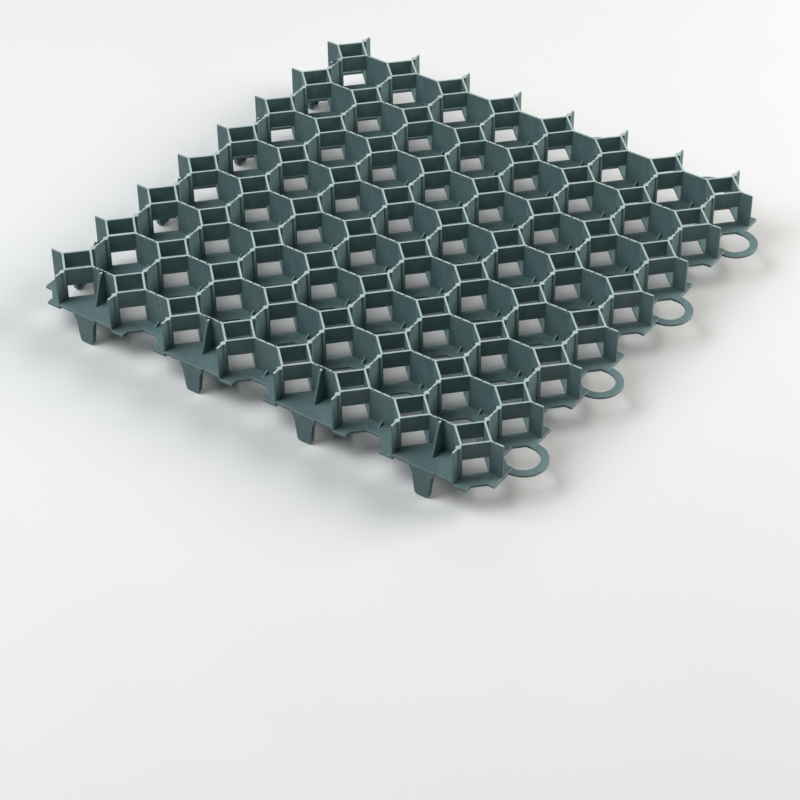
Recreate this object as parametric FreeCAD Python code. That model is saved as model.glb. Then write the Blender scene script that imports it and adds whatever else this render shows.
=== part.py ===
# Grass paver grid: one square moulded plastic panel for reinforcing turf or gravel.
# Small squares stand on their corners in rows, and straight walls join corner to corner,
# which leaves octagonal cells. Pegs hang under two edges and hook into the rings of the next panel.
# Millimetres, +Z up. The panel is drawn with its ground plane at zero and its corner at the
# origin, and is moved at the end so that it stands centred on the origin on its peg tips.
import math
import os

import FreeCAD
import Part

# The grid
CELLS = 8                 # squares along each side
PITCH = 62.5              # from square to square
WALL = 2.0                # thickness of every upright wall
GRID_HEIGHT = 38.0        # from the ground plane to the top edges of the walls

# The windows through the walls of the squares, as wide as the squares are inside
WINDOW_TOP = 21.0         # height of the upper edge of a window above the ground plane

# The floor flange inside the octagons
FLANGE_THICKNESS = 3.0
FLANGE_HOLE = 34.6        # across flats, from one straight side to the other

# Small gussets between flange and wall
GUSSET_THICKNESS = 1.6
GUSSET_FOOT = 7.0
GUSSET_RISE = 5.0

# Joining rings on the two far edges
RING_RADIUS = 23.0
RING_HOLE = 31.0          # across the hole
RING_THICKNESS = 2.4

# Raised platforms on the two near edges, over the rings of the next panel
RING_CLEARANCE = 0.6      # between the next panel's ring and the platform above it
PLATFORM_THICKNESS = 3.2

# Upright rib behind each platform
RIB_THICKNESS = 2.0
RIB_LAND = 5.0            # level top of the rib next to the wall
RIB_FOOT = 17.0           # reach of the rib along the platform

# Pegs under the platforms
PEG_LENGTH = 26.0         # from the ground plane down to the tip
PEG_ROOT_WIDTH = 26.0
PEG_WIDTH = 20.0          # just below the tapered root
PEG_TIP_WIDTH = 14.0
PEG_ROOT_DROP = 2.4       # end of the tapered root below the ground plane
PEG_TIP_RADIUS = 4.0
PEG_DEPTH = 5.0           # from the outer face to the edges of the channel
PEG_SKIN = 2.0            # thickness of the face and of the side ribs
PEG_OUTSET = 1.0          # peg face outside the line where two panels meet

SIDE = CELLS * PITCH
HALF = PITCH / 2
# A square and an octagon share sides of this length, measured on the wall centre lines
CELL_SIDE = PITCH / (1 + math.sqrt(2))
PLATFORM_BOTTOM = RING_THICKNESS + RING_CLEARANCE
PLATFORM_TOP = PLATFORM_BOTTOM + PLATFORM_THICKNESS
SAME = 0.001              # two heights nearer than this are one

UP = FreeCAD.Vector(0, 0, 1)


def vec(x, y, z=0.0):
    return FreeCAD.Vector(x, y, z)


def face_of(points):
    return Part.Face(Part.makePolygon(points + points[:1]))


def rectangle(x0, y0, x1, y1):
    return face_of([vec(x0, y0), vec(x1, y0), vec(x1, y1), vec(x0, y1)])


def octagon(cx, cy, across):
    """Octagon with sides along X and Y, given by its size across flats."""
    radius = across / 2 / math.cos(math.pi / 8)
    turns = [math.pi / 8 + k * math.pi / 4 for k in range(8)]
    return face_of([vec(cx + radius * math.cos(t), cy + radius * math.sin(t)) for t in turns])


def diamond(cx, cy, across):
    """Square that stands on its corner, given by its size across flats."""
    reach = across / math.sqrt(2)
    return face_of([vec(cx + reach, cy), vec(cx, cy + reach), vec(cx - reach, cy), vec(cx, cy - reach)])


def raised(face, bottom, top):
    solid = face.extrude(vec(0, 0, top - bottom))
    solid.translate(vec(0, 0, bottom))
    return solid


def turned(shape, quarter_turns):
    """Turns a piece of the lower edge to another edge, about the middle of the panel."""
    copy = shape.copy()
    copy.rotate(vec(SIDE / 2, SIDE / 2), UP, 90 * quarter_turns)
    return copy


def mirrored(shape):
    """Swaps X and Y, which takes the lower edge to the left one."""
    return shape.mirror(vec(0, 0), vec(1, -1, 0))


def square_centres():
    return [(HALF + i * PITCH, HALF + j * PITCH) for i in range(CELLS) for j in range(CELLS)]


def octagon_centres():
    """Every octagon, with the halves on the edges and the quarters at the corners."""
    return [(i * PITCH, j * PITCH) for i in range(CELLS + 1) for j in range(CELLS + 1)]


def joint_centres():
    """Middle of every second half octagon along one edge, where a peg or a ring sits."""
    return [i * PITCH for i in range(1, CELLS, 2)]


def gusset_places():
    """Middle of the back wall of each octagon, but not over the platforms of the lower edge."""
    platforms = [(x, 0) for x in joint_centres()]
    return [(x, y + HALF) for x, y in octagon_centres()
            if 0 < x < SIDE and y < SIDE and (x, y) not in platforms]


def shafts():
    return [diamond(x, y, CELL_SIDE - WALL) for x, y in square_centres()]


def wall_plan():
    """The walls seen from above, as one face."""
    openings = [octagon(x, y, PITCH - WALL) for x, y in octagon_centres()]
    return rectangle(0, 0, SIDE, SIDE).cut(openings + shafts()).Faces[0]


def windows():
    """Cutters for the windows: a cross over each square, through all its four walls."""
    arm = (CELL_SIDE + WALL) / 2
    half_width = (CELL_SIDE - WALL) / 2
    cutters = []
    for x, y in square_centres():
        across = rectangle(x - arm, y - half_width, x + arm, y + half_width)
        along = rectangle(x - half_width, y - arm, x + half_width, y + arm)
        cross = across.fuse(along).removeSplitter().Faces[0]
        cross.rotate(vec(x, y), UP, 45)
        cutters.append(raised(cross, FLANGE_THICKNESS, WINDOW_TOP))
    return cutters


def ring_plan(x):
    """Flat half ring that reaches out past the lower edge."""
    outer = Part.Face(Part.Wire([Part.Arc(vec(x - RING_RADIUS, 0), vec(x, -RING_RADIUS),
                                          vec(x + RING_RADIUS, 0)).toShape(),
                                 Part.makeLine(vec(x + RING_RADIUS, 0), vec(x - RING_RADIUS, 0))]))
    return outer.cut(Part.Face(Part.Wire(Part.makeCircle(RING_HOLE / 2, vec(x, 0)))))


def flange_plan():
    """Floor level of the panel: flanges, the notches on the edges and the bare places of the pegs."""
    joints = joint_centres()
    holes = []
    for x, y in octagon_centres():
        near = (y == 0 and x in joints) or (x == 0 and y in joints)
        far = (y == SIDE and x in joints) or (x == SIDE and y in joints)
        if near:
            holes.append(octagon(x, y, PITCH - WALL))
        elif far:
            holes.append(octagon(x, y, RING_HOLE))
        else:
            holes.append(octagon(x, y, FLANGE_HOLE))
    return rectangle(0, 0, SIDE, SIDE).cut(holes + shafts())


def edge_strip(x):
    """Half octagon at the lower edge, out to the wall centre lines."""
    return octagon(x, 0, PITCH - WALL / 2).common(rectangle(x - HALF, 0, x + HALF, HALF))


def upright_triangle(x, y, foot, land, bottom, top, thickness):
    """Rib on the lower side of a wall along X: level next to the wall, then sloping to its foot."""
    profile = [vec(x - thickness / 2, y, bottom), vec(x - thickness / 2, y - foot, bottom),
               vec(x - thickness / 2, y - land, top), vec(x - thickness / 2, y, top)]
    if land == 0:
        profile.pop()
    return face_of(profile).extrude(vec(thickness, 0, 0))


def peg(x):
    """Tapered peg under the lower edge: a face with a rim, open towards the panel."""
    tip = -PEG_LENGTH
    half_root, half_width, half_tip = PEG_ROOT_WIDTH / 2, PEG_WIDTH / 2, PEG_TIP_WIDTH / 2

    def outline(inset, y):
        low = tip + inset
        corners = [vec(x - half_root + inset, y, PLATFORM_BOTTOM),
                   vec(x - half_width + inset, y, -PEG_ROOT_DROP),
                   vec(x - half_tip + inset, y, low), vec(x + half_tip - inset, y, low),
                   vec(x + half_width - inset, y, -PEG_ROOT_DROP),
                   vec(x + half_root - inset, y, PLATFORM_BOTTOM)]
        return face_of(corners)

    def tip_edges(shape):
        """The two lowest edges that run through the depth of the peg."""
        depth = [e for e in shape.Edges if all(abs(v.Z - shape.BoundBox.ZMin) < SAME for v in e.Vertexes)]
        return [e for e in depth if e.BoundBox.YLength > SAME]

    body = outline(0, -PEG_OUTSET).extrude(vec(0, PEG_DEPTH, 0))
    body = body.makeFillet(PEG_TIP_RADIUS, tip_edges(body))
    channel = outline(PEG_SKIN, PEG_SKIN - PEG_OUTSET).extrude(vec(0, PEG_DEPTH, 0))
    channel = channel.makeFillet(PEG_TIP_RADIUS - PEG_SKIN, tip_edges(channel))
    head = rectangle(x - half_root, -PEG_OUTSET, x + half_root, PEG_DEPTH - PEG_OUTSET)
    return body.cut(channel).fuse(raised(head, PLATFORM_BOTTOM, PLATFORM_TOP))


def peg_joint(x):
    """Platform, rib and peg of one peg place on the lower edge."""
    platform = raised(edge_strip(x), PLATFORM_BOTTOM, PLATFORM_TOP)
    rib = upright_triangle(x, HALF, RIB_FOOT, RIB_LAND, PLATFORM_BOTTOM, GRID_HEIGHT, RIB_THICKNESS)
    return [platform, rib, peg(x)]


def build():
    walls = raised(wall_plan(), FLANGE_THICKNESS, GRID_HEIGHT).cut(windows())
    flange = raised(flange_plan().Faces[0], 0, FLANGE_THICKNESS)
    pieces = [flange]
    for x in joint_centres():
        ring = raised(ring_plan(x), 0, RING_THICKNESS)
        pieces += [turned(ring, 1), mirrored(turned(ring, 1))]
        for piece in peg_joint(x):
            pieces += [piece, mirrored(piece)]
    for x, y in gusset_places():
        pieces.append(upright_triangle(x, y, GUSSET_FOOT, 0, FLANGE_THICKNESS,
                                       FLANGE_THICKNESS + GUSSET_RISE, GUSSET_THICKNESS))
    panel = walls.fuse(pieces).removeSplitter()
    middle = (SIDE + RING_RADIUS - PEG_OUTSET) / 2
    panel.translate(vec(-middle, -middle, PEG_LENGTH))
    return panel


panel = build()
os.makedirs("parts", exist_ok=True)
panel.exportStep("parts/paver_grid.step")
print("solids", len(panel.Solids), "faces", len(panel.Faces), "valid", panel.isValid())
print("volume cm3", round(panel.Volume / 1000, 1), "box", panel.BoundBox)
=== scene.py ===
"""Looks of the grass paver grid: one moulded panel of dark grey-green recycled plastic, standing
on its peg tips on a pale studio floor. The CAD node's shape gets its round columns, its ticks,
its broken edges and its plastic here. Metres, +Z up."""

import math

import bmesh
import bpy
from mathutils import Matrix, Vector


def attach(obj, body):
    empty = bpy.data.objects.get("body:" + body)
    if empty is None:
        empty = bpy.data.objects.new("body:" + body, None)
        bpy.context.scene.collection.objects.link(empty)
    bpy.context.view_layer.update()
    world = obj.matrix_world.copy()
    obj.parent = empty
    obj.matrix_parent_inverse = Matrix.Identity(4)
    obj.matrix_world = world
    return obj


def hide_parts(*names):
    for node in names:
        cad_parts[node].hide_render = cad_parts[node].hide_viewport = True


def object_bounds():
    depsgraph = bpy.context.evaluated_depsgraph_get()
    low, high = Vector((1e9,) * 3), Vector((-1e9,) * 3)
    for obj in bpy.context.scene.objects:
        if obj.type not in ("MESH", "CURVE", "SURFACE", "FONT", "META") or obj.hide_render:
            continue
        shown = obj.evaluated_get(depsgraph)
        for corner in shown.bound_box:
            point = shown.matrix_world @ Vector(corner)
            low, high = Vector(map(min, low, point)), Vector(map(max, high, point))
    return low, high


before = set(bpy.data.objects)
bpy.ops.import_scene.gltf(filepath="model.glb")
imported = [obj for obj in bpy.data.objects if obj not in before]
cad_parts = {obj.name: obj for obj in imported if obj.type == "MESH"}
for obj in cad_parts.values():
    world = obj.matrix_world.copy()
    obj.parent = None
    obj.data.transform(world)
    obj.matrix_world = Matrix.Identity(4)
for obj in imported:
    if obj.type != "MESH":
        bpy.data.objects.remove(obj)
cad_low, cad_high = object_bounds()

MM = 0.001

# Heights above the floor
TOP = cad_high.z
GROUND = 26 * MM                   # underside of the floor flange, which lies on the ground in use
FLANGE_TOP = GROUND + 3 * MM

# The grid, as the CAD part has it
CELLS = 8
PITCH = 62.5 * MM
SIDE = CELLS * PITCH
MIDDLE = 261 * MM                  # from the panel's own corner to the middle of the stored part

# Round columns in the walls along Y, and ticks in the top edges of all the straight walls
COLUMN_RADIUS = 2.5 * MM
COLUMN_REACH = 9.0 * MM            # from the middle of a wall
COLUMN_SIDES = 16
SEATING = 0.1 * MM                 # how far a column starts below the flange's top
TICK_REACH = 9.4 * MM              # from the middle of a wall
TICK = Vector((1.0, 4.0, 2.0)) * MM   # along the wall, across it and up, half of it over the wall

# Marks of the ejector pins on the floor flange, beside the walls along Y
PIN_RADIUS = 2.6 * MM
PIN_RIM = 0.1 * MM                 # half the width of the soft rim
PIN_REACH = PITCH / 2 - 7.5 * MM   # from the middle of an octagon
PIN_TINT = 0.35
FLANGE_SKIN = 0.1 * MM             # places nearer than this to the flange's top are on it

# Joining the CAD node's triangles to one skin, and breaking the moulding's outward edges
WELD_GAP = 0.001 * MM
EDGE_BREAK = 0.3 * MM
FLAT_TURN = math.radians(1)        # faces that turn less are one flat face
SMOOTH_TURN = math.radians(30)     # facets of round surfaces turn less, and the gussets 35 degrees
SHARP_TURN = math.radians(40)      # outward edges that turn more are broken
ROUND_FACE = 2 * MM * MM           # least area of a round surface's facet

# Slots of the panel's two finishes, and how far each is painted paler, as a painted highlight and
# as rubbing wear
WALLS, EDGES = 0, 1
WALLS_WEAR_HIGHLIGHT, EDGES_WEAR_HIGHLIGHT = 0.0, 0.32

# The view: how the camera of the photograph stands to the panel, in degrees
VIEW_AZIMUTH = 35.05
VIEW_ELEVATION = 40.09
VIEW_ROLL = -0.64
VIEW_DISTANCE = 2.139
VIEW_AIM = Vector((0.1062, -0.1918, GROUND))
VIEW_FOCAL = 2420.5                # in pixels of an image that is 800 wide
IMAGE_WIDTH = 800
SENSOR = 36.0                      # millimetres
VIEW_NEAR, VIEW_FAR = 0.05, 50     # what the camera sees lies between these


class Value:
    """A socket of a material, on which Python's operators add Math nodes."""

    def __init__(self, finish, socket):
        self.finish = finish
        self.socket = socket

    def math(self, operation, *others):
        return self.finish.node("ShaderNodeMath", {"operation": operation}, (self, *others))

    def __add__(self, other):
        return self.math("ADD", other)

    def __radd__(self, other):
        return self.math("ADD", other)

    def __sub__(self, other):
        return self.math("SUBTRACT", other)

    def __rsub__(self, other):
        return self.finish.node("ShaderNodeMath", {"operation": "SUBTRACT"}, (other, self))

    def __mul__(self, other):
        return self.math("MULTIPLY", other)

    def __rmul__(self, other):
        return self.math("MULTIPLY", other)

    def step(self, low, high):
        """0 below low, 1 above high and a soft rise between them."""
        ends = {"Value": self, "From Min": low, "From Max": high}
        return self.finish.node("ShaderNodeMapRange", {"interpolation_type": "SMOOTHSTEP"}, ends)

    def held(self):
        """Kept between 0 and 1."""
        return self.finish.node("ShaderNodeClamp", {}, {"Value": self})


class Finish:
    """A material that is built node by node around its Principled shader."""

    def __init__(self, name):
        self.material = bpy.data.materials.new(name)
        self.material.use_nodes = True
        self.tree = self.material.node_tree
        self.tree.nodes.clear()
        self.output = self.tree.nodes.new("ShaderNodeOutputMaterial")

    def node(self, kind, settings, sockets, output=0):
        """Adds a node. sockets holds a value or a Value for each input, by name or in order."""
        made = self.tree.nodes.new(kind)
        for name, value in settings.items():
            setattr(made, name, value)
        pairs = sockets.items() if isinstance(sockets, dict) else enumerate(sockets)
        for key, value in pairs:
            if isinstance(value, Value):
                self.tree.links.new(value.socket, made.inputs[key])
            else:
                made.inputs[key].default_value = value
        return Value(self, made.outputs[output])

    def place(self):
        return self.node("ShaderNodeTexCoord", {}, {}, "Object")

    def part_of(self, vector, axis):
        return self.node("ShaderNodeSeparateXYZ", {}, (vector,), axis)

    def noise(self, place, repeats, detail, roughness=0.5):
        """Soft noise that repeats so many times in a metre along X, Y and Z."""
        drawn = self.node("ShaderNodeVectorMath", {"operation": "MULTIPLY"}, (place, repeats))
        amounts = {"Vector": drawn, "Scale": 1.0, "Detail": detail, "Roughness": roughness}
        return self.node("ShaderNodeTexNoise", {}, amounts, "Fac")

    def blend(self, factor, first, second):
        """Colour that goes from first to second as factor goes from 0 to 1."""
        settings = {"data_type": "RGBA", "clamp_factor": True}
        # Sockets by number, because the node has the same names for every kind of data
        return self.node("ShaderNodeMix", settings, {0: factor, 6: first, 7: second}, 2)

    def bump(self, height, distance):
        sockets = {"Height": height, "Distance": distance, "Strength": 1.0}
        return self.node("ShaderNodeBump", {}, sockets)

    def shade(self, sockets):
        surface = self.node("ShaderNodeBsdfPrincipled", {}, sockets)
        self.tree.links.new(surface.socket, self.output.inputs["Surface"])
        return self.material


# Colours of the plastic, as linear light
DEEP = (0.098, 0.162, 0.172, 1)
BODY = (0.166, 0.258, 0.266, 1)
DUSTY = (0.230, 0.300, 0.285, 1)
# Pale colour of the edges: a painted highlight, and partly rubbing wear
WEAR_HIGHLIGHT_COLOUR = (0.480, 0.600, 0.580, 1)

# Patterns of the plastic, as repeats in a metre along X, Y and Z
CLOUDS = (28, 28, 34)
MOTTLE = (170, 170, 110)
STREAKS = (520, 520, 26)
LAYERS = (45, 45, 900)
GRAIN = (2600, 2600, 2600)
# Patches in which the painted highlight and wear of the edges are paler
WEAR_HIGHLIGHT_PATCHES = (240, 240, 240)

DUST_START, DUST_END = 0.22, 0.42  # between these, mottle and streaks let dust settle
DUST_COVER = 0.35
CROWN_START = TOP - 0.25 * MM      # from here up a top edge is painted pale, partly as a painted highlight and partly as rubbing wear
CROWN_END = TOP - 0.02 * MM
PLASTIC_IOR = 1.49


def from_octagon(finish, place, axis):
    """How far a place is along X or Y from the middle of the octagon around it."""
    return (finish.part_of(place, axis) + MIDDLE).math("WRAP", PITCH / 2, -PITCH / 2)


def pin_marks(finish, place):
    """1 inside the round marks that the ejector pins leave on the floor flange."""
    aside = from_octagon(finish, place, "X").math("ABSOLUTE") - PIN_REACH
    along = from_octagon(finish, place, "Y")
    away = (aside * aside + along * along).math("SQRT")
    outside = away.step(PIN_RADIUS - PIN_RIM, PIN_RADIUS + PIN_RIM)
    over_flange = (finish.part_of(place, "Z") - FLANGE_TOP).math("ABSOLUTE")
    return (1 - outside) * (1 - over_flange.step(FLANGE_SKIN, 2 * FLANGE_SKIN))


def plastic(name, wear_highlight_level):
    """Recycled plastic: mottled, with flow streaks down the walls, and painted paler on its edges,
    partly as a painted highlight and partly as rubbing wear.

    The second argument is how far the whole surface is painted paler, as a painted highlight and as
    wear, as the broken edges are."""
    finish = Finish(name)
    place = finish.place()
    clouds = finish.noise(place, CLOUDS, detail=3.0)
    mottle = finish.noise(place, MOTTLE, detail=4.0, roughness=0.6)
    streaks = finish.noise(place, STREAKS, detail=3.0, roughness=0.55)
    layers = finish.noise(place, LAYERS, detail=3.0, roughness=0.6)
    grain = finish.noise(place, GRAIN, detail=1.0)

    tone = (clouds * 0.40 + mottle * 0.30 + streaks * 0.25 + layers * 0.25 - 0.10).held()
    colour = finish.blend(tone, DEEP, BODY)
    dust = (mottle * streaks).step(DUST_START, DUST_END) * DUST_COVER
    colour = finish.blend(dust, colour, DUSTY)
    pins = pin_marks(finish, place)
    colour = finish.blend(pins * PIN_TINT, colour, DEEP)

    # The level top edges are painted pale: partly a painted highlight, partly rubbing by wheels and
    # feet
    crown = finish.part_of(place, "Z").step(CROWN_START, CROWN_END)
    wear_highlight_patches = finish.noise(place, WEAR_HIGHLIGHT_PATCHES, detail=3.0, roughness=0.65)
    wear_highlight = (crown * (0.45 + wear_highlight_patches * 0.65) + wear_highlight_level * (0.5 + wear_highlight_patches)).held()
    colour = finish.blend(wear_highlight, colour, WEAR_HIGHLIGHT_COLOUR)

    roughness = (0.34 + mottle * 0.16 + streaks * 0.14 + wear_highlight * 0.08 - pins * 0.08).held()
    relief = streaks * 0.036 + layers * 0.03 + grain * 0.024 - pins * 0.15   # in millimetres
    return finish.shade({"Base Color": colour, "Roughness": roughness,
                         "Normal": finish.bump(relief, MM), "IOR": PLASTIC_IOR})


def placed(name, data):
    """Object in the scene that shows a mesh, a lamp or a camera."""
    made = bpy.data.objects.new(name, data)
    bpy.context.scene.collection.objects.link(made)
    return made


def as_object(name, work):
    mesh = bpy.data.meshes.new(name)
    work.to_mesh(mesh)
    work.free()
    return placed(name, mesh)


def wall_middles(first, last):
    """Middles of the straight walls that run along Y, in the stored part's place.

    first and last number them along Y, where 0 and CELLS are the halves on the edges."""
    return [(PITCH / 2 + i * PITCH - MIDDLE, j * PITCH - MIDDLE)
            for i in range(CELLS) for j in range(first, last + 1)]


def inside(along):
    """Whether a place along X or Y is on the panel's square."""
    return -MIDDLE < along < SIDE - MIDDLE


def columns():
    """Round columns that thicken the walls along Y near both of their ends."""
    work = bmesh.new()
    low = FLANGE_TOP - SEATING
    for x, y in wall_middles(0, CELLS):
        for reach in (-COLUMN_REACH, COLUMN_REACH):
            if inside(y + reach):
                place = Matrix.Translation((x, y + reach, (low + TOP) / 2))
                bmesh.ops.create_cone(work, cap_ends=True, segments=COLUMN_SIDES,
                                      radius1=COLUMN_RADIUS, radius2=COLUMN_RADIUS,
                                      depth=TOP - low, matrix=place)
    return as_object("columns", work)


def ticks():
    """Cutters for the shallow ticks: three in a wall along X, one in a whole wall along Y."""
    work = bmesh.new()
    across = Matrix.Diagonal((*TICK, 1))
    for y, x in wall_middles(0, CELLS):   # the walls along X are those along Y with X and Y swapped
        for reach in (-TICK_REACH, 0, TICK_REACH):
            if inside(x + reach - TICK.x) and inside(x + reach + TICK.x):
                place = Matrix.Translation((x + reach, y, TOP))
                bmesh.ops.create_cube(work, size=1, matrix=place @ across)
    along = Matrix.Rotation(math.pi / 2, 4, "Z") @ across
    for x, y in wall_middles(1, CELLS - 1):
        bmesh.ops.create_cube(work, size=1, matrix=Matrix.Translation((x, y, TOP)) @ along)
    return as_object("ticks", work)


def outer_edge_marker():
    """Geometry nodes that give a bevel weight of one to the outward edges alone."""
    group = bpy.data.node_groups.new("outer_edges", "GeometryNodeTree")
    for way in ("INPUT", "OUTPUT"):
        group.interface.new_socket("Geometry", in_out=way, socket_type="NodeSocketGeometry")
    arriving = group.nodes.new("NodeGroupInput")
    leaving = group.nodes.new("NodeGroupOutput")
    angle = group.nodes.new("GeometryNodeInputMeshEdgeAngle")
    sharp = group.nodes.new("FunctionNodeCompare")
    sharp.data_type = "FLOAT"
    sharp.operation = "GREATER_THAN"
    sharp.inputs[1].default_value = SHARP_TURN
    mark = group.nodes.new("GeometryNodeStoreNamedAttribute")
    mark.data_type = "FLOAT"
    mark.domain = "EDGE"
    mark.inputs["Name"].default_value = "bevel_weight_edge"
    group.links.new(angle.outputs["Signed Angle"], sharp.inputs[0])
    group.links.new(arriving.outputs[0], mark.inputs["Geometry"])
    group.links.new(sharp.outputs[0], mark.inputs["Value"])
    group.links.new(mark.outputs[0], leaving.inputs[0])
    return group


def whole_faces(piece, name):
    """Joins the triangles of every flat face."""
    flat = piece.modifiers.new(name, "DECIMATE")
    flat.decimate_type = "DISSOLVE"
    flat.angle_limit = FLAT_TURN


def combined(piece, name, operation, other):
    """Adds the other piece, or cuts it away."""
    cut = piece.modifiers.new(name, "BOOLEAN")
    cut.operation = operation
    cut.solver = "EXACT"
    cut.object = other


def break_edges(piece):
    """Breaks the outward edges, in the finish of the edges, which is painted paler as a highlight
    and as rubbing wear.
    """
    outer = piece.modifiers.new("outer_edges", "NODES")
    outer.node_group = outer_edge_marker()
    bevel = piece.modifiers.new("broken_edges", "BEVEL")
    bevel.limit_method = "WEIGHT"
    bevel.width = EDGE_BREAK
    bevel.segments = 1
    bevel.use_clamp_overlap = False
    bevel.material = EDGES


def shade_rounds(mesh):
    """Smooth shading on the round surfaces alone, so that flat walls stay flat to their edges."""
    mesh.set_sharp_from_angle(angle=SMOOTH_TURN)   # comes first: it makes every face smooth
    work = bmesh.new()
    work.from_mesh(mesh)
    for face in work.faces:
        face.smooth = False
    for edge in work.edges:
        faces = [face for face in edge.link_faces if face.material_index == WALLS]
        if len(faces) == 2 and FLAT_TURN < edge.calc_face_angle() < SMOOTH_TURN:
            if min(face.calc_area() for face in faces) > ROUND_FACE:
                for face in faces:
                    face.smooth = True
    work.to_mesh(mesh)
    work.free()


def moulded_panel():
    """The CAD node's shape as one skin, with its columns, its ticks and its broken edges."""
    rough = placed("rough_panel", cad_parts["paver_grid"].data.copy())
    rough.data.materials.clear()
    rough.data.materials.append(plastic("grid_plastic_walls", WALLS_WEAR_HIGHLIGHT))
    # The edges' finish is painted paler than the walls': a painted highlight, and partly wear
    rough.data.materials.append(plastic("grid_plastic_edges_painted_highlight", EDGES_WEAR_HIGHLIGHT))
    round_columns, tick_cutters = columns(), ticks()
    weld = rough.modifiers.new("one_skin", "WELD")
    weld.merge_threshold = WELD_GAP
    whole_faces(rough, "whole_faces")
    combined(rough, "columns", "UNION", round_columns)
    combined(rough, "ticks", "DIFFERENCE", tick_cutters)
    whole_faces(rough, "whole_again")
    break_edges(rough)
    shapes = bpy.context.evaluated_depsgraph_get()
    mesh = bpy.data.meshes.new_from_object(rough.evaluated_get(shapes))
    for helper in (rough, round_columns, tick_cutters):
        bpy.data.objects.remove(helper)
    mesh.name = "moulded_panel"
    shade_rounds(mesh)
    panel = placed("moulded_panel", mesh)
    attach(panel, "root")
    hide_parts("paver_grid")


def grey(level):
    return (level, level, level, 1)


# The floor is seen nearly white, but throws little light up on the panel
FLOOR_REACH = 6.0
FLOOR_SEEN = grey(0.80)
FLOOR_SEEN_PALE = grey(0.82)
FLOOR_BOUNCE = grey(0.18)
FLOOR_GRAIN = (9, 9, 9)            # repeats in a metre
FLOOR_ROUGHNESS = 0.9
BLACK = grey(0)
FADE_START = 0.7                   # from here out the floor turns into a plain pale background
FADE_END = 1.8

# The world lights the panel weakly, and is seen as pale as the floor's far end
WORLD_LIGHT = 0.03
WORLD_SEEN = 0.84

LAMP_DISTANCE = 2.6


def studio_floor():
    work = bmesh.new()
    bmesh.ops.create_grid(work, x_segments=1, y_segments=1, size=FLOOR_REACH)
    floor = as_object("studio_floor", work)
    finish = Finish("pale_floor")
    place = finish.place()
    grain = finish.noise(place, FLOOR_GRAIN, detail=2.0)
    seen = finish.blend(grain, FLOOR_SEEN, FLOOR_SEEN_PALE)
    rays = ("Is Camera Ray", "Is Glossy Ray", "Is Transmission Ray")
    camera, glossy, through = [finish.node("ShaderNodeLightPath", {}, {}, ray) for ray in rays]
    looked_at = (camera + glossy + through).held()
    away = finish.node("ShaderNodeVectorMath", {"operation": "LENGTH"}, (place,), "Value")
    far = looked_at * away.step(FADE_START, FADE_END)
    colour = finish.blend(far, finish.blend(looked_at, FLOOR_BOUNCE, seen), BLACK)
    glow = finish.blend(far, BLACK, FLOOR_SEEN_PALE)
    floor.data.materials.append(finish.shade({"Base Color": colour, "Roughness": FLOOR_ROUGHNESS,
                                              "Emission Color": glow, "Emission Strength": 1.0}))


def outward(azimuth, elevation):
    """Direction away from the panel, in degrees.

    Azimuth 0 is in front of the panel, on the side of -Y, and 90 on its right."""
    turn, lift = math.radians(azimuth), math.radians(elevation)
    return Vector((math.sin(turn) * math.cos(lift), -math.cos(turn) * math.cos(lift),
                   math.sin(lift)))


def lamp(name, azimuth, elevation, size, power, colour=(1, 1, 1)):
    """Softbox that looks at the panel."""
    light = bpy.data.lights.new(name, "AREA")
    light.shape = "RECTANGLE"
    light.size, light.size_y = size
    light.energy = power
    light.color = colour
    away = outward(azimuth, elevation)
    box = placed(name, light)
    box.location = away * LAMP_DISTANCE
    box.rotation_euler = away.to_track_quat("Z", "Y").to_euler()


def light_studio():
    world = bpy.data.worlds.new("studio")
    world.use_nodes = True
    background = world.node_tree.nodes["Background"]
    background.inputs["Color"].default_value = grey(1)
    rays = world.node_tree.nodes.new("ShaderNodeLightPath")
    seen = world.node_tree.nodes.new("ShaderNodeMapRange")
    seen.inputs["To Min"].default_value = WORLD_LIGHT
    seen.inputs["To Max"].default_value = WORLD_SEEN
    world.node_tree.links.new(rays.outputs["Is Camera Ray"], seen.inputs["Value"])
    world.node_tree.links.new(seen.outputs["Result"], background.inputs["Strength"])
    bpy.context.scene.world = world
    lamp("left_softbox", azimuth=-44, elevation=50, size=(1.9, 2.1), power=60,
         colour=(0.95, 0.99, 1.0))
    lamp("right_softbox", azimuth=134, elevation=31, size=(1.4, 1.4), power=60,
         colour=(1.0, 0.98, 0.93))
    lamp("back_softbox", azimuth=215, elevation=38, size=(2.2, 1.2), power=12)


def set_camera():
    lens = bpy.data.cameras.new("camera")
    lens.sensor_width = SENSOR
    lens.lens = VIEW_FOCAL * SENSOR / IMAGE_WIDTH
    lens.clip_start, lens.clip_end = VIEW_NEAR, VIEW_FAR
    away = outward(VIEW_AZIMUTH, VIEW_ELEVATION)
    roll = Matrix.Rotation(math.radians(VIEW_ROLL), 3, "Z")
    camera = placed("camera", lens)
    camera.rotation_euler = (away.to_track_quat("Z", "Y").to_matrix() @ roll).to_euler()
    camera.location = VIEW_AIM + away * VIEW_DISTANCE
    bpy.context.scene.camera = camera


moulded_panel()
studio_floor()
light_studio()
set_camera()
bpy.context.scene.view_settings.view_transform = "Standard"
